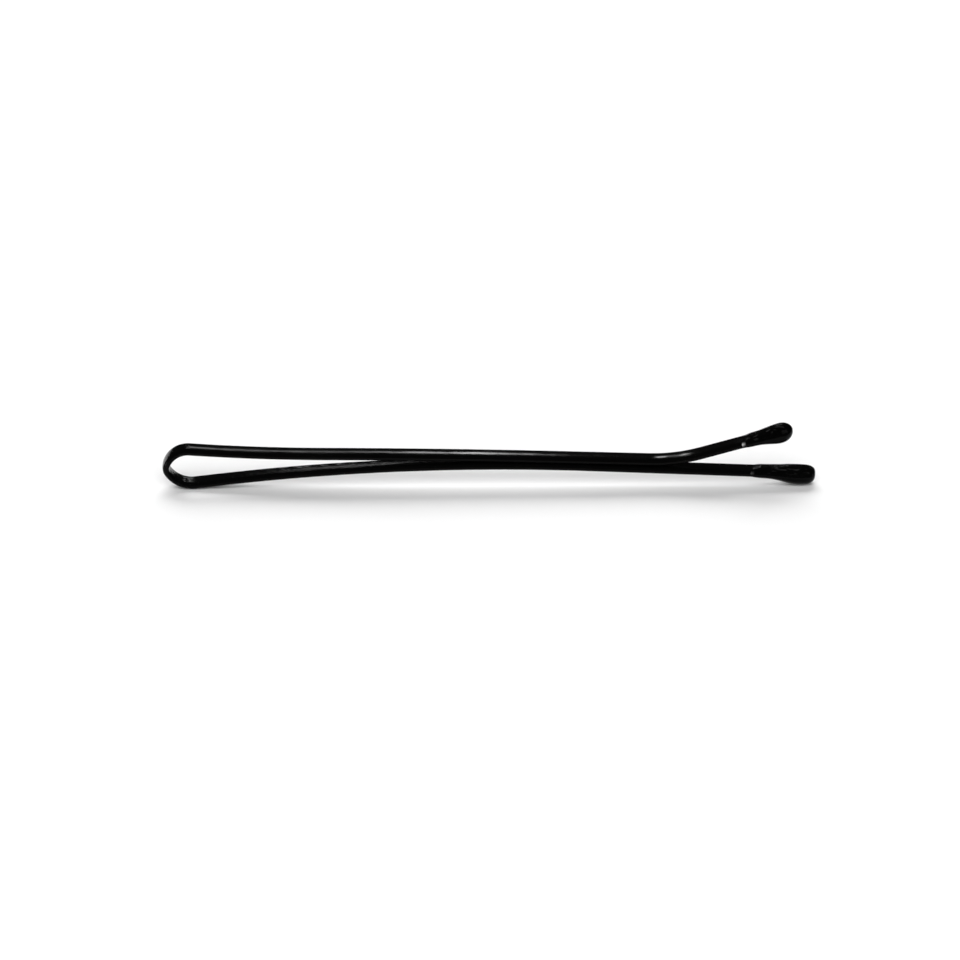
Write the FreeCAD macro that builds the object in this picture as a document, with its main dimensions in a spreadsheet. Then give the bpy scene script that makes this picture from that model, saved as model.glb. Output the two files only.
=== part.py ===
import FreeCAD
import Part
import math
import os
import Sketcher

# A bobby pin: one flat strip of spring wire, bent back on itself at the bow, with a resin bead on each tip.
# X runs from the bow to the tips, Y lies across the strip and Z points up. The pin stands on edge, on the
# underside of its bow and the ball of its lower tip, and the origin lies on that plane below its middle.
# Lengths are in millimetres and angles in degrees.

Vector = FreeCAD.Vector

SIZES = {
    "overall_length": 51.0,
    # The strip has flat faces and full round edges.
    "wire_width": 1.9,
    "wire_thickness": 0.56,
    # The bow is three arcs of the wire's middle line. A shoulder's angle is the turn from where it lies
    # level to where it meets the nose.
    "nose_radius": 0.65,
    "lower_shoulder_radius": 2.3,
    "lower_shoulder_angle": 56.7,
    "upper_shoulder_radius": 1.78,
    "upper_shoulder_angle": 70.1,
    # The lower leg arches up to the grip and falls straight to its tip.
    "arch_radius": 183.0,
    "lower_run_slope": 2.39,
    # The upper leg dips from the bow, comes down to the arch in a long curve, touches it at the grip, where
    # both legs fall at the same slope, runs on straight and flares up at the toe.
    "bridge_radius": 158.0,
    "rest_radius": 840.0,
    "grip_slope": 1.77,
    "grip_clearance": 0.03,
    "toe_bend_radius": 13.6,
    "toe_angle": 15.7,
    "toe_length": 6.4,
    "toe_setback": 1.8,
    # The resin beads are elliptical in section. They start at a thin neck, swell over a lip to a collar,
    # taper out through a waist to the ball and close in a dome past the end of the wire. A fullness of 2
    # makes the dome half an ellipse, and a larger one blunter. The lower bead sags below its wire.
    "resin_past_wire": 1.0,
    "neck_film": 0.12,
    "lip_length": 0.2,
    "collar_length": 0.65,
    "collar_width": 2.16,
    "collar_height": 0.96,
    "waist_width": 2.19,
    "waist_height": 1.12,
    "ball_width": 2.28,
    "ball_height": 1.5,
    "lower_bead_length": 5.1,
    "lower_dome_length": 1.38,
    "lower_dome_fullness": 2.5,
    "lower_ball_sag": 0.16,
    "upper_bead_length": 4.1,
    "upper_dome_length": 1.0,
    "upper_dome_fullness": 2.0,
}

# The pieces of the wire, each with its curves, in order from the lower tip round the bow to the upper tip.
WIRE_PIECES = {
    "lower_leg": ("lower_run", "arch"),
    "bow": ("lower_shoulder", "nose", "upper_shoulder"),
    "upper_leg": ("bridge", "rest", "upper_run", "toe_bend", "toe"),
}
PATH_CURVES = [curve for curves in WIRE_PIECES.values() for curve in curves]

# Turns, from the ball to the end of the dome, at which the dome is sectioned.
DOME_TURNS = (30, 55, 75)


def write_sizes(doc):
    """Put the driving dimensions in a sheet, one named cell each."""
    sheet = doc.addObject("Spreadsheet::Sheet", "sizes")
    for row, (alias, value) in enumerate(SIZES.items(), start=1):
        sheet.set(f"A{row}", alias)
        sheet.set(f"B{row}", str(value))
        sheet.setAlias(f"B{row}", alias)
    doc.recompute()
    return sheet


def origin_plane(body, role):
    """The body's own reference plane with this role."""
    return next(plane for plane in body.Origin.OriginFeatures if plane.Role == role)


def dimension(sketch, name, formula, kind, *where):
    """Add a named driving constraint to a sketch, bound to a formula on the sheet."""
    value = float(sketch.evalExpression(formula))
    if kind == "Angle":
        value = math.radians(value)
    index = sketch.addConstraint(Sketcher.Constraint(kind, *where, value))
    sketch.renameConstraint(index, name)
    sketch.setExpression(f"Constraints.{name}", formula)


# Where a constraint takes hold of a line or an arc, and the sketch's own origin.
START, END, CENTRE = 1, 2, 3
ORIGIN = (-1, 1)

# Heights and places that several features share, as formulas on the sheet.
NOSE_HEIGHT = (
    "sizes.wire_thickness / 2 + sizes.lower_shoulder_radius"
    " - (sizes.lower_shoulder_radius - sizes.nose_radius) * cos(sizes.lower_shoulder_angle)"
)
NOSE_REACH = "sizes.overall_length / 2 - sizes.wire_thickness / 2 - sizes.nose_radius"
LOWER_SHOULDER_HEIGHT = "sizes.wire_thickness / 2 + sizes.lower_shoulder_radius"
UPPER_SHOULDER_HEIGHT = (
    f"{NOSE_HEIGHT}"
    " - (sizes.upper_shoulder_radius - sizes.nose_radius) * cos(sizes.upper_shoulder_angle)"
)
WIRE_FLAT = "sizes.wire_width - sizes.wire_thickness"
NECK_WIDTH = "(sizes.wire_width + 2 * sizes.neck_film)"
NECK_HEIGHT = "(sizes.wire_thickness + 2 * sizes.neck_film)"
LOWER_END_X = "sizes.overall_length / 2 - sizes.resin_past_wire * cos(sizes.lower_run_slope)"
LOWER_END_HEIGHT = (
    "(sizes.ball_height / 2 + sizes.lower_ball_sag) * cos(sizes.lower_run_slope)"
    " - (sizes.lower_dome_length - sizes.resin_past_wire) * sin(sizes.lower_run_slope)"
)
UPPER_END_X = "sizes.overall_length / 2 - sizes.toe_setback - sizes.resin_past_wire * cos(sizes.toe_angle)"
GRIP_REACH = "sizes.arch_radius + sizes.wire_thickness + sizes.grip_clearance"


def arc(centre, start, end):
    """The arc about a centre that runs counter-clockwise from one point to another."""
    first = math.atan2(start.y - centre.y, start.x - centre.x)
    last = math.atan2(end.y - centre.y, end.x - centre.x)
    circle = Part.Circle(centre, Vector(0, 0, 1), (start - centre).Length)
    return Part.ArcOfCircle(circle, first, last)


def heading(angle):
    """The direction at an angle above X, in degrees."""
    return Vector(math.cos(math.radians(angle)), math.sin(math.radians(angle)), 0)


def left_of(direction):
    """The direction a quarter turn to the left."""
    return Vector(-direction.y, direction.x, 0)


def toward(centre, other, distance):
    """The point at a distance from a centre on the way to another point."""
    return centre + (other - centre).normalize() * distance


def wire_curves(sheet):
    """The wire's middle line, from the lower tip round the bow to the upper tip, in the sketch's plane."""
    value = sheet.evalExpression
    nose = Vector(-value(NOSE_REACH), value(NOSE_HEIGHT), 0)
    # The shoulders' centres lie along their last radius, back from the nose's centre.
    lower_reach = sheet.lower_shoulder_radius - sheet.nose_radius
    lower_shoulder = nose + heading(90 - sheet.lower_shoulder_angle) * lower_reach
    upper_reach = sheet.upper_shoulder_radius - sheet.nose_radius
    upper_shoulder = nose + heading(sheet.upper_shoulder_angle - 90) * upper_reach

    # The arch lies below the lower run's line and touches the lower shoulder from outside.
    lower_end = Vector(value(LOWER_END_X), value(LOWER_END_HEIGHT), 0)
    inward = heading(180 - sheet.lower_run_slope)
    offset = lower_end + left_of(inward) * sheet.arch_radius - lower_shoulder
    along = offset.dot(inward)
    contact = sheet.arch_radius + sheet.lower_shoulder_radius
    lower_run_end = lower_end + inward * (-along - math.sqrt(along**2 - offset.Length**2 + contact**2))
    arch = lower_run_end + left_of(inward) * sheet.arch_radius

    # The grip lies out from the arch's centre, by the arch's radius, one strip and the clearance.
    run = heading(-sheet.grip_slope)
    grip = arch + left_of(run) * value(GRIP_REACH)
    rest = grip - left_of(run) * sheet.rest_radius

    # The bridge lies above and touches the upper shoulder and the rest arc from outside.
    span = rest - upper_shoulder
    to_shoulder = sheet.bridge_radius + sheet.upper_shoulder_radius
    to_rest = sheet.bridge_radius + sheet.rest_radius
    foot = (span.Length**2 + to_shoulder**2 - to_rest**2) / (2 * span.Length)
    rise = math.sqrt(to_shoulder**2 - foot**2)
    span.normalize()
    bridge = upper_shoulder + span * foot + left_of(span) * rise

    # The upper run goes on from the grip, and the toe bend turns it up to the toe.
    toe = heading(sheet.toe_angle)
    bend_offset = (left_of(run) - left_of(toe)) * sheet.toe_bend_radius
    toe_start_x = value(UPPER_END_X) - toe.x * sheet.toe_length
    run_end = grip + run * ((toe_start_x - bend_offset.x - grip.x) / run.x)
    toe_bend = run_end + left_of(run) * sheet.toe_bend_radius
    toe_start = run_end + bend_offset

    arch_end = toward(arch, lower_shoulder, sheet.arch_radius)
    nose_start = toward(lower_shoulder, nose, sheet.lower_shoulder_radius)
    nose_end = toward(upper_shoulder, nose, sheet.upper_shoulder_radius)
    bridge_start = toward(upper_shoulder, bridge, sheet.upper_shoulder_radius)
    rest_start = toward(rest, bridge, sheet.rest_radius)
    return {
        "lower_run": Part.LineSegment(lower_end, lower_run_end),
        "arch": arc(arch, lower_run_end, arch_end),
        "lower_shoulder": arc(lower_shoulder, nose_start, arch_end),
        "nose": arc(nose, nose_end, nose_start),
        "upper_shoulder": arc(upper_shoulder, bridge_start, nose_end),
        "bridge": arc(bridge, bridge_start, rest_start),
        "rest": arc(rest, grip, rest_start),
        "upper_run": Part.LineSegment(grip, run_end),
        "toe_bend": arc(toe_bend, run_end, toe_start),
        "toe": Part.LineSegment(toe_start, toe_start + toe * sheet.toe_length),
    }


def wire_path(doc, sheet):
    """The skeleton sketch: the wire's middle line, held by bend radii, slopes and the places of its ends."""
    path = doc.addObject("Sketcher::SketchObject", "wire_path")
    path.Placement = FreeCAD.Placement(Vector(0, 0, 0), FreeCAD.Rotation(Vector(1, 0, 0), 90))
    curves = wire_curves(sheet)
    place = {name: path.addGeometry(curves[name], False) for name in PATH_CURVES}
    joins = (
        ("lower_run", END, "arch", START),
        ("arch", END, "lower_shoulder", END),
        ("lower_shoulder", START, "nose", END),
        ("nose", START, "upper_shoulder", END),
        ("upper_shoulder", START, "bridge", START),
        ("bridge", END, "rest", END),
        ("rest", START, "upper_run", START),
        ("upper_run", END, "toe_bend", START),
        ("toe_bend", END, "toe", START),
    )
    for first, first_end, second, second_end in joins:
        path.addConstraint(
            Sketcher.Constraint("Tangent", place[first], first_end, place[second], second_end)
        )

    # At the grip the upper run lies square across a radius of the arch.
    radius_line = Part.LineSegment(curves["arch"].Center, curves["upper_run"].StartPoint)
    grip_radius = path.addGeometry(radius_line, True)
    path.addConstraint(Sketcher.Constraint("Coincident", grip_radius, START, place["arch"], CENTRE))
    path.addConstraint(Sketcher.Constraint("Coincident", grip_radius, END, place["upper_run"], START))
    path.addConstraint(Sketcher.Constraint("Perpendicular", grip_radius, place["upper_run"]))
    dimension(path, "grip_reach", GRIP_REACH, "Distance", grip_radius)
    dimension(path, "grip_angle", "-sizes.grip_slope", "Angle", place["upper_run"])

    for name in ("arch", "lower_shoulder", "nose", "upper_shoulder", "bridge", "rest", "toe_bend"):
        dimension(path, f"{name}_radius", f"sizes.{name}_radius", "Radius", place[name])
    nose_centre = (place["nose"], CENTRE)
    lower_centre = (place["lower_shoulder"], CENTRE)
    upper_centre = (place["upper_shoulder"], CENTRE)
    dimension(path, "nose_reach", NOSE_REACH, "DistanceX", *nose_centre, *ORIGIN)
    dimension(path, "nose_height", NOSE_HEIGHT, "DistanceY", *ORIGIN, *nose_centre)
    dimension(path, "lower_shoulder_height", LOWER_SHOULDER_HEIGHT, "DistanceY", *ORIGIN, *lower_centre)
    dimension(path, "upper_shoulder_height", UPPER_SHOULDER_HEIGHT, "DistanceY", *ORIGIN, *upper_centre)

    lower_end = (place["lower_run"], START)
    upper_end = (place["toe"], END)
    dimension(path, "lower_run_angle", "180 - sizes.lower_run_slope", "Angle", place["lower_run"])
    dimension(path, "lower_end_x", LOWER_END_X, "DistanceX", *ORIGIN, *lower_end)
    dimension(path, "lower_end_height", LOWER_END_HEIGHT, "DistanceY", *ORIGIN, *lower_end)
    dimension(path, "toe_angle", "sizes.toe_angle", "Angle", place["toe"])
    dimension(path, "toe_length", "sizes.toe_length", "Distance", place["toe"])
    dimension(path, "upper_end_x", UPPER_END_X, "DistanceX", *ORIGIN, *upper_end)
    measured = path.addConstraint(
        Sketcher.Constraint("DistanceY", *ORIGIN, *upper_end, curves["toe"].EndPoint.y)
    )
    path.renameConstraint(measured, "upper_end_height")
    path.setDriving(measured, False)
    doc.recompute()
    return path


def strip_section(sketch):
    """Draw the wire's section about the sketch's origin: flat above and below, with full round edges."""
    radius = sketch.evalExpression("sizes.wire_thickness / 2")
    half_flat = sketch.evalExpression(WIRE_FLAT) / 2
    right, left = Vector(half_flat, 0, 0), Vector(-half_flat, 0, 0)
    up = Vector(0, radius, 0)
    top = sketch.addGeometry(Part.LineSegment(left + up, right + up), False)
    right_edge = sketch.addGeometry(arc(right, right - up, right + up), False)
    bottom = sketch.addGeometry(Part.LineSegment(right - up, left - up), False)
    left_edge = sketch.addGeometry(arc(left, left + up, left - up), False)
    for line, line_end, edge, edge_end in (
        (top, END, right_edge, END),
        (bottom, START, right_edge, START),
        (bottom, END, left_edge, END),
        (top, START, left_edge, START),
    ):
        sketch.addConstraint(Sketcher.Constraint("Tangent", line, line_end, edge, edge_end))
    for line in (top, bottom):
        sketch.addConstraint(Sketcher.Constraint("Horizontal", line))
    sketch.addConstraint(Sketcher.Constraint("Symmetric", left_edge, CENTRE, right_edge, CENTRE, *ORIGIN))
    dimension(sketch, "edge_radius", "sizes.wire_thickness / 2", "Radius", right_edge)
    dimension(sketch, "flat", WIRE_FLAT, "Distance", top)


def wire_piece(doc, path, label, free_end):
    """One stretch of the wire: the strip's section, set at the start of a free curve, and swept."""
    curves = WIRE_PIECES[label]
    body = doc.addObject("PartDesign::Body", label)
    spine = body.newObject("PartDesign::SubShapeBinder", f"{label}_spine")
    spine.Support = [(path, [f"Edge{PATH_CURVES.index(name) + 1}" for name in curves])]
    doc.recompute()
    section = body.newObject("Sketcher::SketchObject", f"{label}_section")
    section.AttachmentSupport = [(spine, f"Edge{curves.index(free_end) + 1}")]
    section.MapMode = "NormalToEdge"
    doc.recompute()
    strip_section(section)
    doc.recompute()
    sweep = body.newObject("PartDesign::AdditivePipe", f"{label}_sweep")
    sweep.Profile = section
    sweep.Spine = (spine, [f"Edge{number}" for number in range(1, len(curves) + 1)])
    doc.recompute()
    return body


def oval_section(sketch, width, height):
    """Draw an ellipse about the sketch's origin, with its width and height bound to formulas."""
    half_width = Vector(float(sketch.evalExpression(width)) / 2, 0, 0)
    half_height = Vector(0, float(sketch.evalExpression(height)) / 2, 0)
    oval = sketch.addGeometry(Part.Ellipse(half_width, half_height, Vector(0, 0, 0)), False)
    sketch.exposeInternalGeometry(oval)
    wide_axis, high_axis = oval + 1, oval + 2
    sketch.addConstraint(Sketcher.Constraint("Coincident", oval, CENTRE, *ORIGIN))
    sketch.addConstraint(Sketcher.Constraint("Horizontal", wide_axis))
    dimension(sketch, "width", width, "Distance", wide_axis)
    dimension(sketch, "height", height, "Distance", high_axis)


def cross_sketch(body, name, along, sag):
    """A sketch square across a tip, at a distance along it from the wire's end and a sag below its axis."""
    sketch = body.newObject("Sketcher::SketchObject", name)
    sketch.AttachmentSupport = [(origin_plane(body, "YZ_Plane"), "")]
    sketch.MapMode = "FlatFace"
    sketch.setExpression("AttachmentOffset.Base.z", along)
    sketch.setExpression("AttachmentOffset.Base.y", f"-({sag})")
    return sketch


def tip(doc, side, ball_sag):
    """A resin bead dipped on the wire. Its own X runs along the wire and starts at the wire's end."""
    label = f"{side}_tip"
    body = doc.addObject("PartDesign::Body", label)
    socket_depth = f"(sizes.{side}_bead_length - sizes.resin_past_wire)"
    dome = f"sizes.{side}_dome_length"
    ball = f"(sizes.resin_past_wire - {dome})"
    collar = f"(sizes.collar_length - {socket_depth})"
    lip_width = f"({NECK_WIDTH} + sizes.collar_width) / 2"
    lip_height = f"({NECK_HEIGHT} + sizes.collar_height) / 2"

    def sag_at(height):
        """The resin hangs lower as it swells from the neck to the ball."""
        return f"{ball_sag} * ({height} - {NECK_HEIGHT}) / (sizes.ball_height - {NECK_HEIGHT})"

    waist = f"({collar} + {ball}) / 2"
    stations = [
        ("neck", f"-{socket_depth}", NECK_WIDTH, NECK_HEIGHT, "0"),
        ("lip", f"sizes.lip_length - {socket_depth}", lip_width, lip_height, sag_at(lip_height)),
        ("collar", collar, "sizes.collar_width", "sizes.collar_height", sag_at("sizes.collar_height")),
        ("waist", waist, "sizes.waist_width", "sizes.waist_height", sag_at("sizes.waist_height")),
        ("ball", ball, "sizes.ball_width", "sizes.ball_height", ball_sag),
    ]
    # The dome draws the resin back up to the wire's own line.
    power = f"(2 / sizes.{side}_dome_fullness)"
    for turn in DOME_TURNS:
        along = f"{ball} + {dome} * sin({turn})^{power}"
        shrink = f"cos({turn})^{power}"
        width = f"sizes.ball_width * {shrink}"
        height = f"sizes.ball_height * {shrink}"
        stations.append((f"dome_{turn}", along, width, height, f"{ball_sag} * {shrink}"))

    sections = []
    for name, along, width, height, sag in stations:
        sketch = cross_sketch(body, f"{label}_{name}", along, sag)
        oval_section(sketch, width, height)
        sections.append(sketch)
    end = cross_sketch(body, f"{label}_end", "sizes.resin_past_wire", "0")
    end.addGeometry(Part.Point(Vector(0, 0, 0)), False)
    end.addConstraint(Sketcher.Constraint("Coincident", 0, START, *ORIGIN))
    doc.recompute()
    bead = body.newObject("PartDesign::AdditiveLoft", f"{label}_bead")
    bead.Profile = sections[0]
    bead.Sections = [*sections[1:], end]
    doc.recompute()
    filled = body.Shape.Volume

    mouth = cross_sketch(body, f"{label}_mouth", f"-{socket_depth}", "0")
    strip_section(mouth)
    doc.recompute()
    socket = body.newObject("PartDesign::Pocket", f"{label}_socket")
    socket.Profile = mouth
    socket.Reversed = True
    socket.setExpression("Length", socket_depth)
    doc.recompute()
    if not body.Shape.Volume < filled:
        raise ValueError(f"the socket of {label} cuts nothing")
    return body


def set_on_wire(body, axis, angle, end_x, end_height):
    """Turn a tip in line with the wire's end and set it there, all bound to formulas."""
    body.Placement = FreeCAD.Placement(Vector(0, 0, 0), FreeCAD.Rotation(axis, 1))
    body.setExpression("Placement.Rotation.Angle", angle)
    body.setExpression("Placement.Base.x", end_x)
    body.setExpression("Placement.Base.z", end_height)


def check(doc, bodies):
    """Stop if any object of the document failed or any piece is not one sound solid."""
    failed = [item.Name for item in doc.Objects if {"Invalid", "Error"} & set(item.State)]
    if failed:
        raise RuntimeError(f"failed objects: {failed}")
    for body in bodies:
        if body.Shape.isNull() or not body.Shape.isValid() or len(body.Shape.Solids) != 1:
            raise RuntimeError(f"{body.Label} is not one sound solid")


def main():
    doc = FreeCAD.newDocument("bobby_pin")
    sheet = write_sizes(doc)
    path = wire_path(doc, sheet)
    lower_leg = wire_piece(doc, path, "lower_leg", "lower_run")
    bow = wire_piece(doc, path, "bow", "upper_shoulder")
    upper_leg = wire_piece(doc, path, "upper_leg", "bridge")
    lower_tip = tip(doc, "lower", "sizes.lower_ball_sag")
    set_on_wire(lower_tip, Vector(0, 1, 0), "sizes.lower_run_slope", LOWER_END_X, LOWER_END_HEIGHT)
    upper_tip = tip(doc, "upper", "0")
    set_on_wire(
        upper_tip, Vector(0, -1, 0), "sizes.toe_angle", UPPER_END_X, "wire_path.Constraints.upper_end_height"
    )
    doc.recompute()

    bodies = (lower_leg, bow, upper_leg, lower_tip, upper_tip)
    check(doc, bodies)
    os.makedirs("parts", exist_ok=True)
    for body in bodies:
        body.Shape.exportStep(os.path.join("parts", f"{body.Label}.step"))


if __name__ == "__main__":
    main()
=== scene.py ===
"""Dresses the frame of a bobby pin: lacquered spring wire, dipped resin beads, floor, light and camera."""

import math

import bmesh
import bpy
from mathutils import Matrix, Vector, noise


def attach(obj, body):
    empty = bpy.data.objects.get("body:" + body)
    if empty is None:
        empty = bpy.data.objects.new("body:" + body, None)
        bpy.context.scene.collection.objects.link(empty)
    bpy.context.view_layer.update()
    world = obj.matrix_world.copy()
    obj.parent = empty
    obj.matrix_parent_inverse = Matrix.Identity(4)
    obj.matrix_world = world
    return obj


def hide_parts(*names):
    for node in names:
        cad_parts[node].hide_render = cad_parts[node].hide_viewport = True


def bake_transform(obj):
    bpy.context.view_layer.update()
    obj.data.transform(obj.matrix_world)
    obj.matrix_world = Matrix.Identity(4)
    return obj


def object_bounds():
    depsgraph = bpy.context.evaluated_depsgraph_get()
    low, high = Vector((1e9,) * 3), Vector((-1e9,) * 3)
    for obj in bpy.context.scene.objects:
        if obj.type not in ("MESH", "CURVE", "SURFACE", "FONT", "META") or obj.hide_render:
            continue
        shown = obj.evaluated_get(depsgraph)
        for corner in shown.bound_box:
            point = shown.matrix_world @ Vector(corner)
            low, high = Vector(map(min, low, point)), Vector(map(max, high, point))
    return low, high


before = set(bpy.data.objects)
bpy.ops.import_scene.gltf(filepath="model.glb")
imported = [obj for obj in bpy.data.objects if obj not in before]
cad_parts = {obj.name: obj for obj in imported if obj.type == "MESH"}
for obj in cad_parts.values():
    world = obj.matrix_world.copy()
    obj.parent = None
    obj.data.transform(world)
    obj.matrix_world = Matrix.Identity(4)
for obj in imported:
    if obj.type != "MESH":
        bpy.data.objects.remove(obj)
CAD_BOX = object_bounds()

bl_info = {
    "name": "Bobby pin",
    "version": (1, 0, 0),
    "blender": (4, 5, 0),
    "location": "3D View > Sidebar > Bobby pin",
    "description": "Builds a bobby pin's lacquered wire and resin beads on its frame, and a white stage",
    "category": "Object",
}

MM = 0.001
NOISE_MIDDLE = 0.5


# Properties


def length(name, millimetres, description):
    """A length that a user may change, given in millimetres and kept in metres."""
    return bpy.props.FloatProperty(
        name=name,
        description=description,
        default=millimetres * MM,
        precision=6,
        subtype="DISTANCE",
        unit="LENGTH",
    )


def turn(name, degrees, description):
    """An angle that a user may change, given in degrees and kept in radians."""
    return bpy.props.FloatProperty(
        name=name,
        description=description,
        default=math.radians(degrees),
        subtype="ANGLE",
        unit="ROTATION",
    )


def share(name, part, description):
    """A number from 0 to 1 that a user may change."""
    return bpy.props.FloatProperty(
        name=name,
        description=description,
        default=part,
        min=0.0,
        max=1.0,
        precision=4,
        subtype="FACTOR",
    )


def amount(name, number, description):
    """A plain number that a user may change."""
    return bpy.props.FloatProperty(name=name, description=description, default=number, min=0.0)


def grey(name, level, description):
    """A colour that a user may change, given as a neutral level of linear light."""
    return bpy.props.FloatVectorProperty(
        name=name,
        description=description,
        default=(level, level, level),
        min=0.0,
        max=1.0,
        size=3,
        subtype="COLOR",
    )


class PinWire(bpy.types.PropertyGroup):
    """Sizes of the bent wire, as in the part's source, then its crown, mesh and uneven lacquer."""

    overall_length: length("Overall length", 51.0, "From the bow to the end of the lower bead")
    width: length("Strip width", 1.9, "Width of the flat strip")
    thickness: length("Strip thickness", 0.56, "Thickness of the flat strip at its middle")
    nose_radius: length("Nose radius", 0.65, "Bend at the very end of the bow")
    lower_shoulder_radius: length("Lower shoulder radius", 2.3, "Bend from the nose into the lower leg")
    lower_shoulder_angle: turn("Lower shoulder angle", 56.7, "Turn from level to the nose, below")
    upper_shoulder_radius: length("Upper shoulder radius", 1.78, "Bend from the nose into the upper leg")
    upper_shoulder_angle: turn("Upper shoulder angle", 70.1, "Turn from level to the nose, above")
    arch_radius: length("Arch radius", 183.0, "Long bend of the lower leg")
    lower_run_slope: turn("Lower run slope", 2.39, "Fall of the lower leg's straight end")
    bridge_radius: length("Bridge radius", 158.0, "Dip of the upper leg behind the bow")
    rest_radius: length("Rest radius", 840.0, "Long bend that lays the upper leg on the arch")
    grip_slope: turn("Grip slope", 1.77, "Fall of both legs where they meet")
    grip_clearance: length("Grip clearance", 0.03, "Gap between the legs at the grip")
    toe_bend_radius: length("Toe bend radius", 13.6, "Bend that flares the upper leg")
    toe_angle: turn("Toe angle", 15.7, "Rise of the flared toe")
    toe_length: length("Toe length", 6.4, "Straight length of the flared toe")
    toe_setback: length("Toe setback", 1.8, "How far the upper bead ends short of the lower one")
    crown: share("Crown", 0.2, "Share by which the rolled strip thins towards its edges")
    ring_spacing: length("Ring spacing", 0.07, "Distance between the mesh rings along the wire")
    wave: length("Lacquer wave", 0.006, "Depth of the slow unevenness of the lacquer")
    wave_size: length("Wave size", 1.4, "Size of the slow unevenness of the lacquer")


class PinBeads(bpy.types.PropertyGroup):
    """Sizes of the dipped beads: lengths and balls as in the part's source, necks and domes finer."""

    past_wire: length("Resin past the wire", 1.0, "From the end of the wire to the end of the bead")
    film: length("Neck film", 0.04, "Thickness of the resin at its very edge")
    lip_length: length("Lip length", 0.8, "Length over which the resin's edge rounds up")
    lip_height: length("Lip height", 0.13, "How far the lip rises above and below the film")
    lip_width: length("Lip width", 0.08, "How far the lip swells to the sides of the film")
    lip_slant: length("Lip slant", 0.4, "How far the resin's edge stands back along the top of the wire")
    ball_width: length("Ball width", 2.28, "Widest part of the bead")
    ball_height: length("Ball height", 1.5, "Highest part of the bead")
    lower_length: length("Lower bead length", 5.1, "Length of the lower bead")
    lower_flare: amount("Lower flare", 4.5, "How late the lower bead swells to its ball")
    lower_dome: length("Lower dome length", 1.38, "From the ball to the end of the lower bead")
    lower_fullness: amount("Lower dome fullness", 3.0, "2 makes half an ellipse, more is blunter")
    lower_sag: length("Lower sag", 0.16, "How far the resin of the lower bead hangs below the wire")
    upper_length: length("Upper bead length", 4.1, "Length of the upper bead")
    upper_flare: amount("Upper flare", 4.5, "How late the upper bead swells to its ball")
    upper_dome: length("Upper dome length", 1.0, "From the ball to the end of the upper bead")
    upper_fullness: amount("Upper dome fullness", 2.0, "2 makes half an ellipse, more is blunter")
    upper_sag: length("Upper sag", 0.08, "How far the resin of the upper bead hangs below the wire")
    end_clearance: length("End clearance", 0.003, "How far short of its full length a bead ends")
    # The glint spot is a pale spot painted at a bead's neck, a painted glint; these set where it sits round
    # the neck, how far it reaches and how pale it is.
    glint_spot_place: turn("Chip place", 160.0, "Where round its neck a bead is chipped, from the back upwards")
    glint_spot_length: length("Chip length", 0.32, "How far a chip reaches along the bead")
    lower_chip: share("Lower chip", 0.1, "How pale the chip of the lower bead is")
    upper_chip: share("Upper chip", 1.0, "How pale the chip of the upper bead is")
    dimple_depth: length("Dimple depth", 0.02, "Depth of the slow unevenness of the resin")
    dimple_size: length("Dimple size", 0.6, "Size of the slow unevenness of the resin")


class PinFinish(bpy.types.PropertyGroup):
    """Colours and gloss of the two finishes, and the colours of the highlights painted on them."""

    lacquer: grey("Lacquer", 0.0015, "Colour of the lacquered wire")
    lacquer_drift: length("Lacquer drift", 2.5, "Size of the slow change of the lacquer's gloss")
    lacquer_dust: grey("Lacquer dust", 0.02, "Colour of the dust in the lacquer")
    dust_spacing: length("Dust spacing", 0.2, "Distance between the specks of dust")
    # Colour and width of the pale streaks painted on the wire's top as glints; the colour also paints the
    # mottled highlights on the resin.
    painted_glint: grey("Scuff", 0.15, "Colour of the fine scuffs on the worn stretches")
    painted_glint_size: length("Scuff size", 0.2, "Width of the scuffs")
    lacquer_roughness: share("Lacquer roughness", 0.09, "Mean roughness of the lacquer")
    specular: share("Specular", 0.05, "Specular level of both finishes")
    peel_depth: length("Peel depth", 0.004, "Depth of the lacquer's drawn streaks")
    peel_size: length("Peel size", 0.22, "Width of the lacquer's drawn streaks")
    crinkle_depth: length("Crinkle depth", 0.02, "Depth of the crinkles where the lacquered wire was bent")
    crinkle_size: length("Crinkle size", 0.22, "Size of the crinkles")
    # Colour of the glint spot painted at a bead's neck: a painted highlight.
    glint_spot: grey("Chip", 0.5, "Colour of the chip at the neck of a bead")
    resin: grey("Resin", 0.001, "Colour of the resin beads")
    resin_roughness: share("Resin roughness", 0.14, "Mean roughness of the resin")
    resin_drift: length("Resin drift", 2.0, "Size of the slow change of the resin's gloss")
    resin_depth: length("Resin pitting", 0.02, "Depth of the fine pits in the resin")
    resin_size: length("Resin pit size", 0.35, "Size of the fine pits in the resin")
    # Width of the pale mottles painted on the resin's top as highlights.
    painted_mottle_size: length("Fleck size", 0.3, "Width of the pale flecks on the resin")


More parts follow.
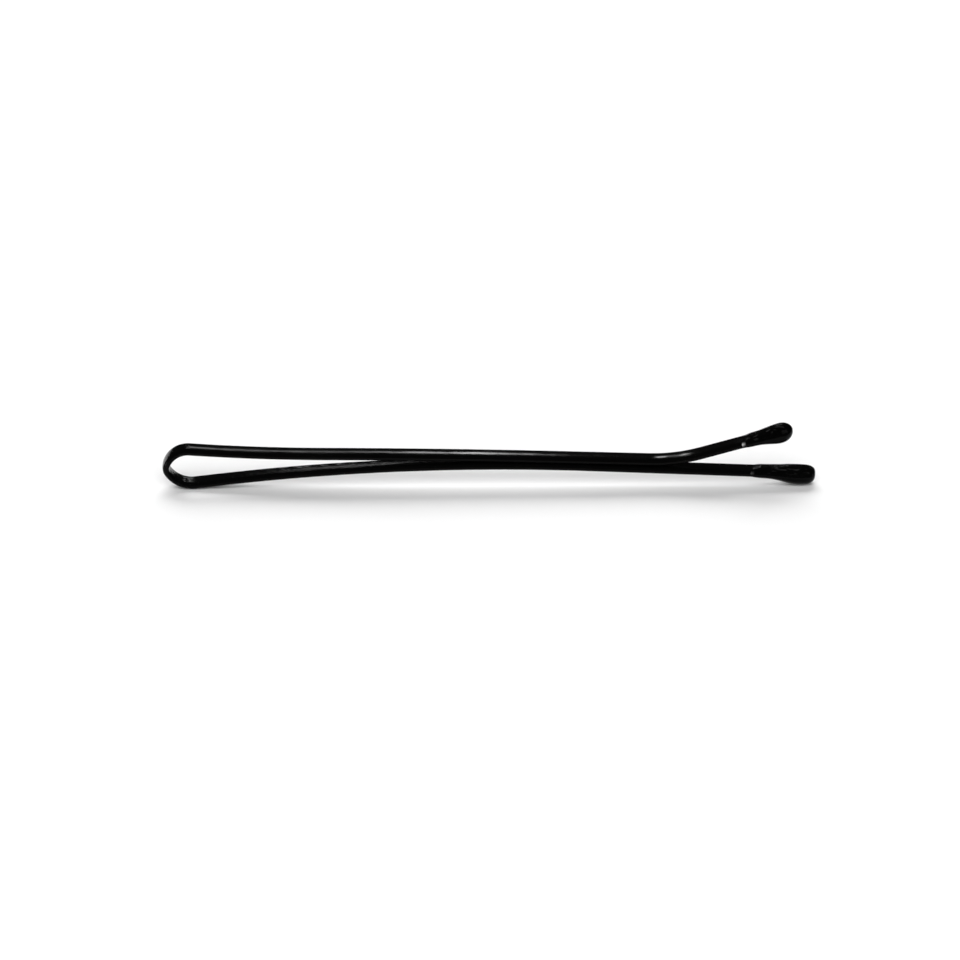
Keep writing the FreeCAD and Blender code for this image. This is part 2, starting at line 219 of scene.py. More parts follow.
class PinStage(bpy.types.PropertyGroup):
    """Floor, light and camera."""

    floor: grey("Floor", 0.9, "Colour of the floor")
    camera_elevation: turn("Camera elevation", 21.0, "Height of the camera above the horizon")
    camera_yaw: turn("Camera yaw", 0.79, "Turn of the camera about the pin, to its left")
    camera_distance: length("Camera distance", 1041.7, "From the camera to the point it looks at")
    camera_lens: amount("Lens", 500.0, "Focal length in millimetres, on a 36 mm sensor")
    aim_x: length("Aim X", -0.703, "Where the camera looks, along the pin")
    aim_z: length("Aim height", 0.385, "Where the camera looks, above the floor")
    key_elevation: turn("Key elevation", 32.0, "Height of the key light")
    key_azimuth: turn("Key azimuth", 5.0, "Turn of the key light to the left of straight behind")
    key_spread: turn("Key spread", 50.0, "Apparent size of the key light")
    key_strength: amount("Key strength", 3.8, "Light of the key on a surface that faces it")
    fill_elevation: turn("Fill elevation", 35.0, "Height of the fill light, in front of the pin")
    fill_spread: turn("Fill spread", 60.0, "Apparent size of the fill light")
    fill_strength: amount("Fill strength", 2.76, "Light of the fill on a surface that faces it")
    top_elevation: turn("Top light elevation", 24.4, "Height of the lights that the wire's top reflects")
    window_azimuth: turn("Window azimuth", 1.9, "Turn of the broad light to the left of straight behind")
    window_distance: length("Window distance", 460.0, "From the pin to the broad light")
    window_width: length("Window width", 63.0, "Width of the broad light")
    window_height: length("Window height", 26.0, "Height of the broad light")
    window_strength: amount("Window strength", 2.5, "Brightness of the broad light")
    strip_light_azimuth: turn("Strip light azimuth", -1.6, "Turn of the narrow light to the left")
    strip_light_distance: length("Strip light distance", 460.0, "From the pin to the narrow light")
    strip_light_width: length("Strip light width", 21.0, "Width of the narrow light")
    strip_light_height: length("Strip light height", 24.0, "Height of the narrow light")
    strip_light_strength: amount("Strip light strength", 6.0, "Brightness of the narrow light")
    toe_light_azimuth: turn("Toe light azimuth", -1.4, "Turn of the toe bend's light to the left")
    toe_light_distance: length("Toe light distance", 120.0, "From the pin to the toe bend's light")
    toe_light_width: length("Toe light width", 3.2, "Width of the light that the toe bend reflects")
    toe_light_height: length("Toe light height", 6.5, "Height of the light that the toe bend reflects")
    toe_light_strength: amount("Toe light strength", 9.0, "Brightness of the toe bend's light")
    side_light_azimuth: turn("Side light azimuth", 105.0, "Turn of the side light to the left")
    side_light_elevation: turn("Side light elevation", 8.0, "Height of the side light above the horizon")
    side_light_distance: length("Side light distance", 400.0, "From the pin to the side light")
    side_light_width: length("Side light width", 50.0, "Width of the light that the bow's side reflects")
    side_light_height: length("Side light height", 50.0, "Height of the light that the bow's side reflects")
    side_light_strength: amount("Side light strength", 22.0, "Brightness of the side light")
    room: grey("Room", 0.015, "Colour of the dim room round the stage")


# Node trees


class Graph:
    """A node tree that is being written."""

    def __init__(self, tree):
        self.tree = tree

    def node(self, kind, settings=None, sockets=None, output=0):
        """Add a node: its settings first, then the values or links of its sockets. Gives one output."""
        made = self.tree.nodes.new(kind)
        for name, setting in (settings or {}).items():
            setattr(made, name, setting)
        for name, given in (sockets or {}).items():
            if isinstance(given, Value):
                self.tree.links.new(given.socket, made.inputs[name])
            else:
                made.inputs[name].default_value = given
        return Value(self, made.outputs[output])

    def math(self, operation, *numbers):
        """A Math node on up to three values."""
        return self.node("ShaderNodeMath", {"operation": operation}, dict(enumerate(numbers)))

    def vector(self, x, y, z):
        """A vector from its three parts."""
        return self.node("ShaderNodeCombineXYZ", sockets={"X": x, "Y": y, "Z": z})

    def vector_math(self, operation, first, second):
        """A Vector Math node on two vectors."""
        return self.node("ShaderNodeVectorMath", {"operation": operation}, {0: first, 1: second})

    def scaled(self, vector, factor):
        """A vector times a number."""
        return self.node("ShaderNodeVectorMath", {"operation": "SCALE"}, {"Vector": vector, "Scale": factor})

    def parts(self, vector):
        """The three parts of a vector."""
        first = self.node("ShaderNodeSeparateXYZ", sockets={"Vector": vector})
        return [Value(self, output) for output in first.socket.node.outputs]

    def mixed(self, factor, first, second):
        """A colour between two colours."""
        return self.node(
            "ShaderNodeMix", {"data_type": "RGBA"}, {"Factor": factor, 6: first, 7: second}, output=2
        )

    def ramp(self, value, low, high):
        """A smooth step of a value from 0 at one limit to 1 at the other."""
        return self.node(
            "ShaderNodeMapRange",
            {"interpolation_type": "SMOOTHSTEP"},
            {"Value": value, "From Min": low, "From Max": high},
        )

    def noise(self, place, size, detail=2.0):
        """Noise with features of a size."""
        return self.node("ShaderNodeTexNoise", sockets={"Vector": place, "Scale": 1 / size, "Detail": detail})

    def drawn_out(self, place, times):
        """A place on which a pattern comes out drawn along X, that many times as long as it is wide."""
        return self.vector_math("MULTIPLY", place, (1 / times, 1.0, 1.0))

    def attribute(self, name):
        """A number that a mesh keeps at its points, for a material."""
        return self.node("ShaderNodeAttribute", {"attribute_name": name}, output="Fac")


class Value:
    """A socket that Python's operators work on; each expression adds the Math node that it needs."""

    def __init__(self, graph, socket):
        self.graph = graph
        self.socket = socket

    def __add__(self, other):
        return self.graph.math("ADD", self, other)

    def __radd__(self, other):
        return self.graph.math("ADD", other, self)

    def __sub__(self, other):
        return self.graph.math("SUBTRACT", self, other)

    def __rsub__(self, other):
        return self.graph.math("SUBTRACT", other, self)

    def __mul__(self, other):
        return self.graph.math("MULTIPLY", self, other)

    def __rmul__(self, other):
        return self.graph.math("MULTIPLY", other, self)

    def __truediv__(self, other):
        return self.graph.math("DIVIDE", self, other)

    def __rtruediv__(self, other):
        return self.graph.math("DIVIDE", other, self)

    def __pow__(self, other):
        return self.graph.math("POWER", self, other)

    def __abs__(self):
        return self.graph.math("ABSOLUTE", self)


def geometry_tree(name, inputs):
    """A new geometry tree with named inputs, as its graph and a table of those inputs."""
    tree = bpy.data.node_groups.new(name, "GeometryNodeTree")
    tree.interface.new_socket("Geometry", in_out="OUTPUT", socket_type="NodeSocketGeometry")
    for label, kind in inputs.items():
        tree.interface.new_socket(label, in_out="INPUT", socket_type=kind)
    graph = Graph(tree)
    given = tree.nodes.new("NodeGroupInput")
    return graph, {label: Value(graph, given.outputs[label]) for label in inputs}


def finish_tree(graph, geometry, material):
    """End a geometry tree in real, painted geometry."""
    real = graph.node("GeometryNodeRealizeInstances", sockets={"Geometry": geometry})
    painted = graph.node("GeometryNodeSetMaterial", sockets={"Geometry": real, "Material": material})
    graph.tree.links.new(painted.socket, graph.tree.nodes.new("NodeGroupOutput").inputs[0])


def made_by_nodes(name, tree, values):
    """A plain mesh object that a geometry tree makes from its named inputs."""
    piece = bpy.data.objects.new(name, bpy.data.meshes.new(name))
    bpy.context.scene.collection.objects.link(piece)
    modifier = piece.modifiers.new(name, "NODES")
    modifier.node_group = tree
    for item in tree.interface.items_tree:
        if item.in_out == "INPUT":
            modifier[item.identifier] = values[item.name]
    depsgraph = bpy.context.evaluated_depsgraph_get()
    mesh = bpy.data.meshes.new_from_object(piece.evaluated_get(depsgraph), depsgraph=depsgraph)
    piece.modifiers.clear()
    piece.data = mesh
    mesh.name = name
    if not mesh.polygons:
        raise RuntimeError(f"the tree of {name} made no faces")
    return piece


# Wire


def heading(angle):
    """The direction at an angle above X, in the plane of the bends."""
    return Vector((math.cos(angle), math.sin(angle)))


def left_of(direction):
    """The direction a quarter turn to the left."""
    return Vector((-direction.y, direction.x))


def angle_of(direction):
    """A direction's angle above X."""
    return math.atan2(direction.y, direction.x)


def lower_wire_end(wire, beads):
    """Where the wire ends inside the lower bead, whose ball rests on the floor."""
    slope = wire.lower_run_slope
    ball_drop = beads.ball_height / 2 + beads.lower_sag
    ball_setback = beads.lower_dome - beads.past_wire
    return Vector((
        wire.overall_length / 2 - beads.past_wire * math.cos(slope),
        ball_drop * math.cos(slope) - ball_setback * math.sin(slope),
    ))


def bend_schedule(wire, beads):
    """Each wire piece as its start, its first heading, and its stretches: name to length and turn.

    The wire runs from the lower tip round the bow to the upper tip. A stretch with no turn is straight.
    """
    lower_reach = wire.lower_shoulder_radius - wire.nose_radius
    upper_reach = wire.upper_shoulder_radius - wire.nose_radius
    floor_reach = wire.thickness / 2 + wire.lower_shoulder_radius
    nose = Vector((
        wire.nose_radius + wire.thickness / 2 - wire.overall_length / 2,
        floor_reach - lower_reach * math.cos(wire.lower_shoulder_angle),
    ))
    lower_shoulder = nose + heading(math.pi / 2 - wire.lower_shoulder_angle) * lower_reach
    upper_shoulder = nose + heading(wire.upper_shoulder_angle - math.pi / 2) * upper_reach

    # The lower run is straight, and the arch touches it and the lower shoulder.
    lower_end = lower_wire_end(wire, beads)
    inward = heading(math.pi - wire.lower_run_slope)
    offset = lower_end + left_of(inward) * wire.arch_radius - lower_shoulder
    along = offset.dot(inward)
    contact = wire.arch_radius + wire.lower_shoulder_radius
    lower_run = -along - math.sqrt(along**2 - offset.length_squared + contact**2)
    arch = lower_end + inward * lower_run + left_of(inward) * wire.arch_radius

    # The upper leg meets the arch at the grip, and the bridge joins it to the upper shoulder.
    run = heading(-wire.grip_slope)
    grip = arch + left_of(run) * (wire.arch_radius + wire.thickness + wire.grip_clearance)
    rest = grip - left_of(run) * wire.rest_radius
    span = rest - upper_shoulder
    to_shoulder = wire.bridge_radius + wire.upper_shoulder_radius
    to_rest = wire.bridge_radius + wire.rest_radius
    foot = (span.length_squared + to_shoulder**2 - to_rest**2) / (2 * span.length)
    rise = math.sqrt(to_shoulder**2 - foot**2)
    forward = span.normalized()
    bridge = upper_shoulder + forward * foot + left_of(forward) * rise

    # The toe bend turns the upper run up to the toe.
    toe = heading(wire.toe_angle)
    bend_offset = (left_of(run) - left_of(toe)) * wire.toe_bend_radius
    toe_end_x = wire.overall_length / 2 - wire.toe_setback - beads.past_wire * toe.x
    toe_start_x = toe_end_x - toe.x * wire.toe_length
    upper_run = (toe_start_x - bend_offset.x - grip.x) / run.x

    lower_start = math.pi - wire.lower_run_slope
    bow_start = angle_of(lower_shoulder - arch) + math.pi / 2
    nose_start = math.pi - wire.lower_shoulder_angle
    nose_end = wire.upper_shoulder_angle
    bridge_start = angle_of(bridge - upper_shoulder) - math.pi / 2
    rest_start = angle_of(bridge - rest) - math.pi / 2

    def bent(radius, first, last):
        """Length and turn of an arc between two headings."""
        return radius * abs(last - first), last - first

    lower_leg = {
        "lower run": (lower_run, 0.0),
        "arch": bent(wire.arch_radius, lower_start, bow_start),
    }
    bow = {
        "lower shoulder": bent(wire.lower_shoulder_radius, bow_start, nose_start),
        "nose": bent(wire.nose_radius, nose_start, nose_end),
        "upper shoulder": bent(wire.upper_shoulder_radius, nose_end, bridge_start),
    }
    upper_leg = {
        "bridge": bent(wire.bridge_radius, bridge_start, rest_start),
        "rest": bent(wire.rest_radius, rest_start, -wire.grip_slope),
        "upper run": (upper_run, 0.0),
        "toe bend": bent(wire.toe_bend_radius, -wire.grip_slope, wire.toe_angle),
        "toe": (wire.toe_length, 0.0),
    }
    bow_place = arch - left_of(heading(bow_start)) * wire.arch_radius
    upper_place = upper_shoulder + left_of(heading(bridge_start)) * wire.upper_shoulder_radius
    return {
        "lower_leg": (lower_end, lower_start, lower_leg),
        "bow": (bow_place, bow_start, bow),
        "upper_leg": (upper_place, bridge_start, upper_leg),
    }


def bent_line(graph, given, stretches):
    """A curve that follows the stretches, with the share of the way along it kept as an attribute."""
    total = 0.0
    for label in stretches:
        total = given[f"{label} length"] + total
    step = total / (given["Rings"] - 1)

    # Every step follows the heading at its own middle.
    index = graph.node("GeometryNodeInputIndex")
    reached = (index - 0.5) * step
    bend = given["Start heading"]
    begin = 0.0
    for label in stretches:
        done = graph.node("ShaderNodeClamp", sockets={"Value": (reached - begin) / given[f"{label} length"]})
        bend = bend + done * given[f"{label} turn"]
        begin = given[f"{label} length"] + begin
    moving = graph.math("GREATER_THAN", index, 0.5)
    stride = graph.vector(graph.math("COSINE", bend), 0.0, graph.math("SINE", bend))
    stride = graph.scaled(stride, step * moving)
    run = graph.node("GeometryNodeAccumulateField", {"data_type": "FLOAT_VECTOR"}, {0: stride})
    place = graph.vector_math("ADD", run, graph.vector(given["Start X"], 0.0, given["Start Z"]))

    line = graph.node("GeometryNodeCurvePrimitiveLine", sockets={"End": (1.0, 0.0, 0.0)})
    points = {"Curve": line, "Count": given["Rings"]}
    line = graph.node("GeometryNodeResampleCurve", {"mode": "COUNT"}, points)
    line = graph.node("GeometryNodeSetPosition", sockets={"Geometry": line, "Position": place})
    return stored(graph, line, "along", index / (given["Rings"] - 1))


def stored(graph, geometry, name, value):
    """Geometry with a number kept at each of its points."""
    return graph.node(
        "GeometryNodeStoreNamedAttribute",
        {"data_type": "FLOAT", "domain": "POINT"},
        {"Geometry": geometry, "Name": name, "Value": value},
    )


def strip_section(graph, given):
    """The strip's section, shaped from a circle: two faintly crowned faces and two round edges."""
    edge = given["Thickness"] / 2
    half_flat = (given["Width"] - given["Thickness"]) / 2
    points = {"Resolution": 64, "Radius": 1.0}
    circle = graph.node("GeometryNodeCurvePrimitiveCircle", {"mode": "RADIUS"}, points)
    side, up, _ = graph.parts(graph.node("GeometryNodeInputPosition"))
    from_top = graph.math("ARCCOSINE", graph.math("MINIMUM", abs(up), 1.0)) / (math.pi / 2)

    # A little over half of the points lie on the faces, and the rest on the edges.
    on_face = 0.56
    rolled = graph.math("MAXIMUM", from_top - on_face, 0.0) * (math.pi / 2 / (1 - on_face))
    across = half_flat * graph.math("MINIMUM", from_top / on_face, 1.0) + edge * graph.math("SINE", rolled)
    thinned = 1.0 - given["Crown"] * (across / (given["Width"] / 2)) ** 2.0
    high = edge * graph.math("COSINE", rolled) * thinned
    outline = graph.vector(across * graph.math("SIGN", side), high * graph.math("SIGN", up), 0.0)
    return graph.node("GeometryNodeSetPosition", sockets={"Geometry": circle, "Position": outline})


def strip_tree(name, stretches, material):
    """A tree that bends a straight strip by its stretches, one after another, and lacquers it."""
    numbers = [
        "Start X", "Start Z", "Start heading", "Width", "Thickness", "Crown", "Wave", "Wave size", "Crinkle",
        "Worn start", "Worn end",
    ]
    for label in stretches:
        numbers += [f"{label} length", f"{label} turn"]
    inputs = {label: "NodeSocketFloat" for label in numbers}
    inputs["Rings"] = "NodeSocketInt"
    graph, given = geometry_tree(name, inputs)
    strip = graph.node(
        "GeometryNodeCurveToMesh",
        sockets={
            "Curve": bent_line(graph, given, stretches),
            "Profile Curve": strip_section(graph, given),
            "Fill Caps": True,
        },
    )

    # The lacquer lies unevenly, but not where one piece of the wire runs on into the next.
    seam = 0.05
    along = graph.node("GeometryNodeInputNamedAttribute", {"data_type": "FLOAT"}, {"Name": "along"})
    inner = graph.ramp(along, 0.0, seam) * graph.ramp(along, 1.0, 1.0 - seam)
    uneven = graph.noise(graph.node("GeometryNodeInputPosition"), given["Wave size"])
    sunk = graph.scaled(graph.node("GeometryNodeInputNormal"), 0.0 - uneven * inner * given["Wave"])
    strip = graph.node("GeometryNodeSetPosition", sockets={"Geometry": strip, "Offset": sunk})
    strip = stored(graph, strip, "crinkle", given["Crinkle"])

    # Glints are painted along the back of the upper face of one stretch: a painted highlight mask that eases
    # in and out.
    ease = 0.08
    up = graph.parts(graph.node("GeometryNodeInputNormal"))[2]
    across = graph.parts(graph.node("GeometryNodeInputPosition"))[1] / given["Width"]
    faces_up = graph.ramp(up, 0.8, 0.97)
    at_back = graph.ramp(across, -0.05, 0.2)
    begun = graph.ramp(along, given["Worn start"], given["Worn start"] + ease)
    not_over = graph.ramp(along, given["Worn end"], given["Worn end"] - ease)
    strip = stored(graph, strip, "worn", begun * not_over * faces_up * at_back)
    finish_tree(graph, strip, material)
    return graph.tree


def bend_strip(label, crinkle, worn):
    """Make one piece of the wire in place of its CAD node."""
    wire = bpy.context.scene.pin_wire
    start, first_heading, stretches = bend_schedule(wire, bpy.context.scene.pin_beads)[label]
    total = sum(distance for distance, _ in stretches.values())
    least_rings = 120
    values = {
        "Start X": start.x,
        "Start Z": start.y,
        "Start heading": first_heading,
        "Rings": max(least_rings, round(total / wire.ring_spacing)),
        "Width": wire.width,
        "Thickness": wire.thickness,
        "Crown": wire.crown,
        "Wave": wire.wave,
        "Wave size": wire.wave_size,
        "Crinkle": crinkle,
        # The stretch of the piece on which glints are painted.
        "Worn start": worn[0],
        "Worn end": worn[1],
    }
    for stretch, (distance, angle) in stretches.items():
        values[f"{stretch} length"] = distance
        values[f"{stretch} turn"] = angle
    name = f"lacquered_{label}"
    piece = made_by_nodes(name, strip_tree(name, list(stretches), lacquer_material()), values)
    close_shell(piece.data)
    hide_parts(label)
    return piece


def close_shell(mesh):
    """Turn every face outwards and shade the mesh smooth, with sharp rims."""
    rim_angle = math.radians(50)
    shell = bmesh.new()
    shell.from_mesh(mesh)
    bmesh.ops.recalc_face_normals(shell, faces=shell.faces)
    shell.to_mesh(mesh)
    shell.free()
    mesh.shade_smooth()
    mesh.set_sharp_from_angle(angle=rim_angle)


# Beads


def bead_rings(wire, beads, side):
    """The rings of a bead from its neck to its end.

    Each is a place along the wire, half a width, half a height, a sag, a squareness and a slant.
    """
    dome = getattr(beads, f"{side}_dome")
    flare = getattr(beads, f"{side}_flare")
    sag = getattr(beads, f"{side}_sag")
    neck = beads.past_wire - getattr(beads, f"{side}_length")
    ball = beads.past_wire - dome
    swell_width = beads.ball_width / 2 - wire.width / 2 - beads.film - beads.lip_width
    swell_height = beads.ball_height / 2 - wire.thickness / 2 - beads.film - beads.lip_height
    flat_squareness = 2.5
    round_squareness = 2.0

    # The sleeve's rings crowd towards the neck, where the lip rounds up and the slant dies out.
    sleeve_rings = 60
    crowding = 1.6
    slant_fall = 3
    for ring in range(sleeve_rings):
        reach = (ring / sleeve_rings) ** crowding
        lip = min(1.0, reach * (ball - neck) / beads.lip_length)
        lip = lip * lip * (3 - 2 * lip)
        swell = math.sin(math.pi / 2 * reach) ** flare
        along = neck + (ball - neck) * reach
        width = wire.width / 2 + beads.film + beads.lip_width * lip + swell_width * swell
        height = wire.thickness / 2 + beads.film + beads.lip_height * lip + swell_height * swell
        squareness = flat_squareness - (flat_squareness - round_squareness) * lip
        yield along, width, height, sag * swell, squareness, (1 - reach) ** slant_fall

    # The dome draws the resin back up to the wire's own line. Its last ring stops just short of the end.
    dome_rings = 40
    last_fall = math.radians(88.5)
    power = 2 / getattr(beads, f"{side}_fullness")
    for ring in range(dome_rings):
        fall = last_fall * ring / (dome_rings - 1)
        left = math.cos(fall) ** power
        along = ball + (dome - beads.end_clearance) * math.sin(fall) ** power
        width = beads.ball_width / 2 * left
        height = beads.ball_height / 2 * left
        yield along, width, height, sag * left, round_squareness, 0.0


def bead_points(shell, wire, beads, side):
    """Add the points of a bead to its shell, ring by ring, with the masks of its painted highlights kept at
    each: mottles on its top half and a glint spot at its neck.
    """
    points = 72
    glint_spot_sharpness = 30
    glint_spot = getattr(beads, f"{side}_chip")
    neck = beads.past_wire - getattr(beads, f"{side}_length")
    worn = shell.verts.layers.float.new("worn")
    chipped = shell.verts.layers.float.new("chipped")
    rows = []
    for along, width, height, sag, squareness, slant in bead_rings(wire, beads, side):
        fade = max(0.0, 1 - (along - neck) / beads.glint_spot_length)
        row = []
        for point in range(points):
            around = 2 * math.pi * point / points
            cosine = math.cos(around)
            sine = math.sin(around)
            across = math.copysign(abs(cosine) ** (2 / squareness), cosine) * width
            high = math.copysign(abs(sine) ** (2 / squareness), sine) * height
            back = beads.lip_slant * slant * max(0.0, sine) * (0.5 + 0.5 * cosine)
            vertex = shell.verts.new((along + back, across, high - sag))
            # The top half takes painted mottled highlights.
            vertex[worn] = max(0.0, sine)
            # A spot at the neck takes a painted glint, fading along the lip.
            near_glint_spot = max(0.0, math.cos(around - beads.glint_spot_place)) ** glint_spot_sharpness
            vertex[chipped] = glint_spot * fade * near_glint_spot
            row.append(vertex)
        rows.append(row)
    return rows


def dimple(rows, beads):
    """Press the slow unevenness of the resin into the rings of a bead."""
    for vertex in (vertex for row in rows for vertex in row):
        depth = beads.dimple_depth * (0.5 + 0.5 * noise.noise(vertex.co / beads.dimple_size))
        outward = Vector((0.0, vertex.co.y, vertex.co.z))
        vertex.co -= outward * min(1.0, depth / max(outward.length, depth))


def skin(shell, rows, beads):
    """Close the rings of a bead with faces, drawn in at the neck and to a point at the end."""
    points = len(rows[0])
    first = shell.verts.new((rows[0][0].co.x + beads.lip_length, 0.0, 0.0))
    last = shell.verts.new((beads.past_wire - beads.end_clearance, 0.0, 0.0))
    for point in range(points):
        beside = (point + 1) % points
        for row, following in zip(rows, rows[1:]):
            shell.faces.new((row[point], row[beside], following[beside], following[point]))
        shell.faces.new((rows[0][beside], rows[0][point], first))
        shell.faces.new((rows[-1][point], rows[-1][beside], last))


def bead(side, body, place, angle):
    """A drop of resin on the wire's end, in place of its CAD node. Its own X runs out along the wire."""
    name = f"resin_{side}_bead"
    beads = bpy.context.scene.pin_beads
    shell = bmesh.new()
    rows = bead_points(shell, bpy.context.scene.pin_wire, beads, side)
    dimple(rows, beads)
    skin(shell, rows, beads)
    set_on_wire = Matrix.Translation((place.x, 0.0, place.y)) @ Matrix.Rotation(-angle, 4, "Y")
    bmesh.ops.transform(shell, matrix=set_on_wire, verts=shell.verts)
    mesh = bpy.data.meshes.new(name)
    shell.to_mesh(mesh)
    shell.free()
    close_shell(mesh)
    mesh.materials.append(resin_material())
    piece = bpy.data.objects.new(name, mesh)
    bpy.context.scene.collection.objects.link(piece)
    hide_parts(f"{side}_tip")
    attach(piece, body)


# Finishes


def coated_material(name, roughness, layers):
    """A black coat, made once. A function lays its paint, change of gloss and height on the graph."""
    made = bpy.data.materials.get(name)
    if made:
        return made
    finish = bpy.context.scene.pin_finish
    material = bpy.data.materials.new(name)
    material.use_nodes = True
    tree = material.node_tree
    tree.nodes.clear()
    graph = Graph(tree)
    paint, duller, height = layers(graph, finish)
    bump = graph.node("ShaderNodeBump", sockets={"Strength": 1.0, "Distance": 1.0, "Height": height})
    shader = graph.node(
        "ShaderNodeBsdfPrincipled",
        sockets={
            "Base Color": paint,
            "Roughness": roughness + duller,
            "Specular IOR Level": finish.specular,
            "Normal": bump,
        },
    )
    tree.links.new(shader.socket, tree.nodes.new("ShaderNodeOutputMaterial").inputs["Surface"])
    return material


def lacquer_layers(graph, finish):
    """Lacquer on drawn wire: streaks, crinkles where it was bent, dust, and glints painted as pale streaks on
    the back of its top face.
    """
    gloss_drift = 0.1
    speck_dullness = 0.2
    place = graph.node("ShaderNodeTexCoord", output="Object")
    streak = graph.noise(graph.drawn_out(place, 5), finish.peel_size, detail=3.0)
    drift = graph.noise(place, finish.lacquer_drift)
    wrinkle = graph.noise(place, finish.crinkle_size)
    glint_streak = graph.noise(graph.drawn_out(place, 4), finish.painted_glint_size)
    dust = graph.node("ShaderNodeTexVoronoi", sockets={"Vector": place, "Scale": 1 / finish.dust_spacing})
    speck = graph.ramp(dust, 0.16, 0.06) * graph.ramp(drift, 0.5, 0.66)
    paint = graph.mixed(speck, (*finish.lacquer, 1.0), (*finish.lacquer_dust, 1.0))
    # Pale streaks painted on the glint mask: painted highlights drawn out along the wire.
    painted_glints = graph.ramp(glint_streak, 0.56, 0.66) * graph.attribute("worn")
    paint = graph.mixed(painted_glints, paint, (*finish.painted_glint, 1.0))
    duller = (drift - NOISE_MIDDLE) * gloss_drift + speck * speck_dullness
    height = streak * finish.peel_depth + wrinkle * graph.attribute("crinkle") * finish.crinkle_depth
    return paint, duller, height


def lacquer_material():
    """Black gloss lacquer on the wire."""
    roughness = bpy.context.scene.pin_finish.lacquer_roughness
    return coated_material("black_lacquer_coat", roughness, lacquer_layers)


def resin_layers(graph, finish):
    """Dipped resin: finely pitted, thinner here and there, with pale mottles painted as highlights on its top
    and a glint painted at its neck.
    """
    gloss_drift = 0.1
    painted_mottle_strength = 0.1
    place = graph.node("ShaderNodeTexCoord", output="Object")
    pits = graph.noise(place, finish.resin_size)
    drift = graph.noise(place, finish.resin_drift)
    painted_mottle = graph.noise(graph.drawn_out(place, 2), finish.painted_mottle_size)
    paint = graph.mixed(graph.ramp(drift, 0.35, 0.7), (*finish.resin, 1.0), (*finish.lacquer, 1.0))
    # Pale mottles painted on the top half: painted highlights.
    painted_mottles = graph.ramp(painted_mottle, 0.55, 0.72) * graph.attribute("worn") * painted_mottle_strength
    paint = graph.mixed(painted_mottles, paint, (*finish.painted_glint, 1.0))
    # A pale spot painted at the neck: a painted glint.
    paint = graph.mixed(graph.attribute("chipped"), paint, (*finish.glint_spot, 1.0))
    duller = (drift - NOISE_MIDDLE) * gloss_drift
    return paint, duller, pits * finish.resin_depth


def resin_material():
    """Black resin on the tips."""
    roughness = bpy.context.scene.pin_finish.resin_roughness
    return coated_material("black_resin_drop", roughness, resin_layers)


def paper_material():
    """The plain pale floor."""
    material = bpy.data.materials.new("white_paper")
    material.use_nodes = True
    tree = material.node_tree
    tree.nodes.clear()
    floor = bpy.context.scene.pin_stage.floor
    shader = Graph(tree).node("ShaderNodeBsdfDiffuse", sockets={"Color": (*floor, 1.0)})
    tree.links.new(shader.socket, tree.nodes.new("ShaderNodeOutputMaterial").inputs["Surface"])
    return material


# Stage


def towards(azimuth, elevation):
    """The direction from the pin to something at that azimuth left of straight behind, and elevation."""
    level = math.cos(elevation)
    return Vector((-math.sin(azimuth) * level, math.cos(azimuth) * level, math.sin(elevation)))


def placed(name, data, direction, place):
    """An object that looks along a direction's opposite, from a place."""
    item = bpy.data.objects.new(name, data)
    bpy.context.scene.collection.objects.link(item)
    item.location = place
    item.rotation_mode = "QUATERNION"
    item.rotation_quaternion = direction.to_track_quat("Z", "Y")
    return item


def sun(name, direction, spread, strength):
    """A far soft light that lights the pin and the floor, and is not itself seen in the gloss."""
    data = bpy.data.lights.new(name, "SUN")
    data.angle = spread
    data.energy = strength
    placed(name, data, direction, direction).visible_glossy = False


def softbox(stage, name, elevation):
    """A rectangular light near the pin, which its gloss reflects."""
    width = getattr(stage, f"{name}_width")
    height = getattr(stage, f"{name}_height")
    data = bpy.data.lights.new(name, "AREA")
    data.shape = "RECTANGLE"
    data.size = width
    data.size_y = height
    data.energy = getattr(stage, f"{name}_strength") * math.pi * width * height
    direction = towards(getattr(stage, f"{name}_azimuth"), elevation)
    place = direction * getattr(stage, f"{name}_distance")
    placed(name, data, direction, place).visible_camera = False


def lay_floor():
    """A wide sheet of paper at the height that the pin stands on."""
    reach = 3.0
    sheet = bmesh.new()
    bmesh.ops.create_grid(sheet, x_segments=1, y_segments=1, size=reach)
    bmesh.ops.translate(sheet, verts=sheet.verts, vec=(0.0, 0.0, CAD_BOX[0].z))
    mesh = bpy.data.meshes.new("floor")
    sheet.to_mesh(mesh)
    sheet.free()
    mesh.materials.append(paper_material())
    floor = bpy.data.objects.new("floor", mesh)
    bpy.context.scene.collection.objects.link(floor)


def set_lights(stage):
    """A key from behind, a fill from the front, the lights that the gloss shows, and a dim room."""
    sun("key", towards(stage.key_azimuth, stage.key_elevation), stage.key_spread, stage.key_strength)
    sun("fill", towards(math.pi, stage.fill_elevation), stage.fill_spread, stage.fill_strength)
    for name in ("window", "strip_light", "toe_light"):
        softbox(stage, name, stage.top_elevation)
    softbox(stage, "side_light", stage.side_light_elevation)
    world = bpy.data.worlds.new("dim_room")
    world.use_nodes = True
    world.node_tree.nodes["Background"].inputs["Color"].default_value = (*stage.room, 1.0)
    bpy.context.scene.world = world


def set_camera(stage):
    """A camera in front of the pin, far off and with a long lens."""
    data = bpy.data.cameras.new("camera")
    data.lens = stage.camera_lens
    data.sensor_width = 36.0
    data.clip_end = 20.0
    back = towards(math.pi - stage.camera_yaw, stage.camera_elevation)
    aim = Vector((stage.aim_x, 0.0, stage.aim_z))
    bpy.context.scene.camera = placed("camera", data, back, aim + back * stage.camera_distance)


# Operators


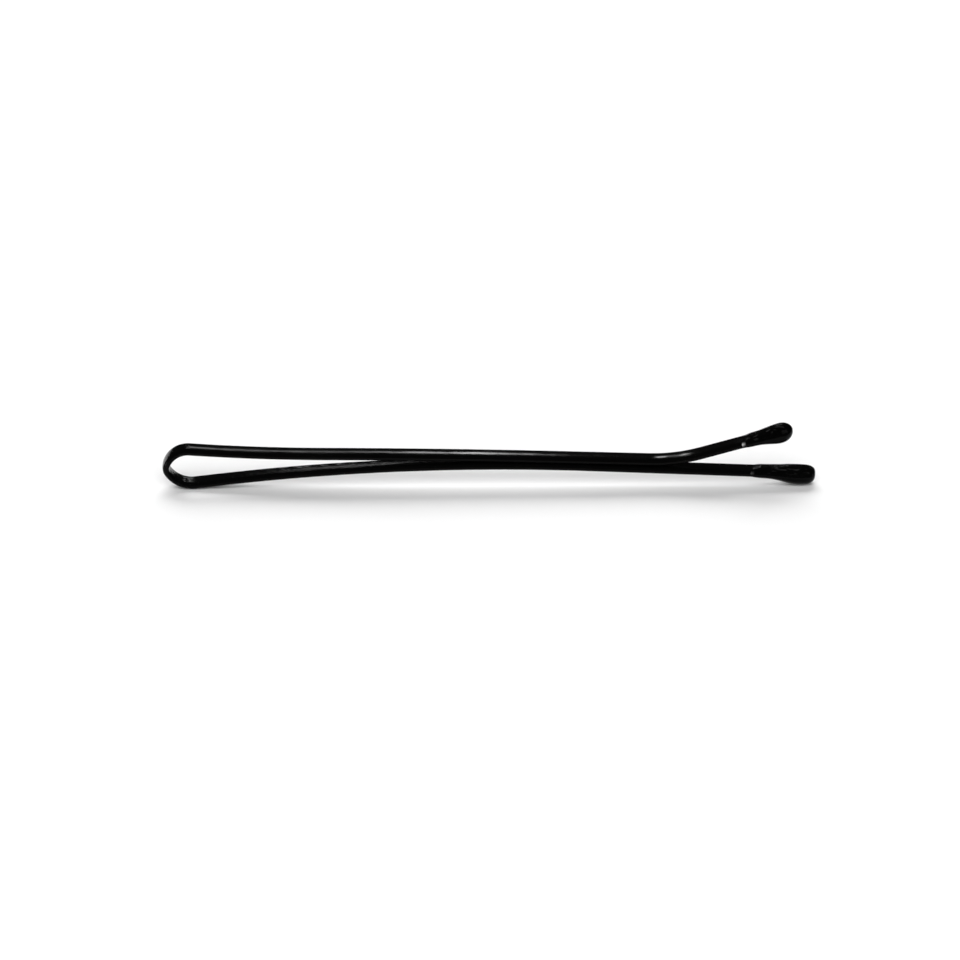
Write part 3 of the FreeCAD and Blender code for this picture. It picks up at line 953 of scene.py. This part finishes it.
class PIN_OT_bend_legs(bpy.types.Operator):
    """Bend the lower and the upper leg of the wire"""

    bl_idname = "pin.bend_legs"
    bl_label = "Bend legs"

    def execute(self, context):
        # Each last range is the stretch of a piece's top face on which glints are painted.
        lower = bend_strip("lower_leg", crinkle=0.6, worn=(0.6, 0.92))
        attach(lower, "lower_half")
        upper = bend_strip("upper_leg", crinkle=0.05, worn=(0.0, 0.0))
        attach(upper, "upper_half")
        return {"FINISHED"}


class PIN_OT_bend_bow(bpy.types.Operator):
    """Bend the bow between the legs"""

    bl_idname = "pin.bend_bow"
    bl_label = "Bend bow"

    def execute(self, context):
        # The last range is the stretch of the bow's top face on which glints are painted.
        bow = bend_strip("bow", crinkle=1.0, worn=(0.0, 0.3))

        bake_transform(bow)
        return {"FINISHED"}


class PIN_OT_dip_beads(bpy.types.Operator):
    """Dip both tips in resin"""

    bl_idname = "pin.dip_beads"
    bl_label = "Dip beads"

    def execute(self, context):
        schedule = bend_schedule(context.scene.pin_wire, context.scene.pin_beads)
        place, angle, _ = schedule["lower_leg"]
        bead("lower", "lower_half", place, angle - math.pi)
        place, angle, stretches = schedule["upper_leg"]
        for distance, bend in stretches.values():
            chord = distance
            if bend:
                chord *= math.sin(bend / 2) / (bend / 2)
            place = place + heading(angle + bend / 2) * chord
            angle += bend
        bead("upper", "upper_half", place, angle)
        return {"FINISHED"}


class PIN_OT_set_stage(bpy.types.Operator):
    """Lay the floor, set the lights and place the camera"""

    bl_idname = "pin.set_stage"
    bl_label = "Set stage"

    def execute(self, context):
        stage = context.scene.pin_stage
        lay_floor()
        set_lights(stage)
        set_camera(stage)
        context.scene.view_settings.view_transform = "Standard"
        return {"FINISHED"}


class PIN_PT_panel(bpy.types.Panel):
    """Lists the steps that build the pin"""

    bl_idname = "PIN_PT_panel"
    bl_label = "Bobby pin"
    bl_space_type = "VIEW_3D"
    bl_region_type = "UI"
    bl_category = "Bobby pin"

    def draw(self, context):
        for step in STEPS:
            self.layout.operator(step.bl_idname)


GROUPS = {"pin_wire": PinWire, "pin_beads": PinBeads, "pin_finish": PinFinish, "pin_stage": PinStage}
STEPS = (PIN_OT_bend_legs, PIN_OT_bend_bow, PIN_OT_dip_beads, PIN_OT_set_stage)
CLASSES = (*GROUPS.values(), *STEPS, PIN_PT_panel)


def register():
    """Register the classes and hang the property groups on the scene."""
    for item in CLASSES:
        bpy.utils.register_class(item)
    for name, group in GROUPS.items():
        setattr(bpy.types.Scene, name, bpy.props.PointerProperty(type=group))


def unregister():
    """Undo register."""
    for name in GROUPS:
        delattr(bpy.types.Scene, name)
    for item in reversed(CLASSES):
        bpy.utils.unregister_class(item)


def main():
    """Build the pin and its stage."""
    register()
    bpy.ops.pin.bend_legs()
    bpy.ops.pin.bend_bow()
    bpy.ops.pin.dip_beads()
    bpy.ops.pin.set_stage()


if __name__ == "__main__":
    main()
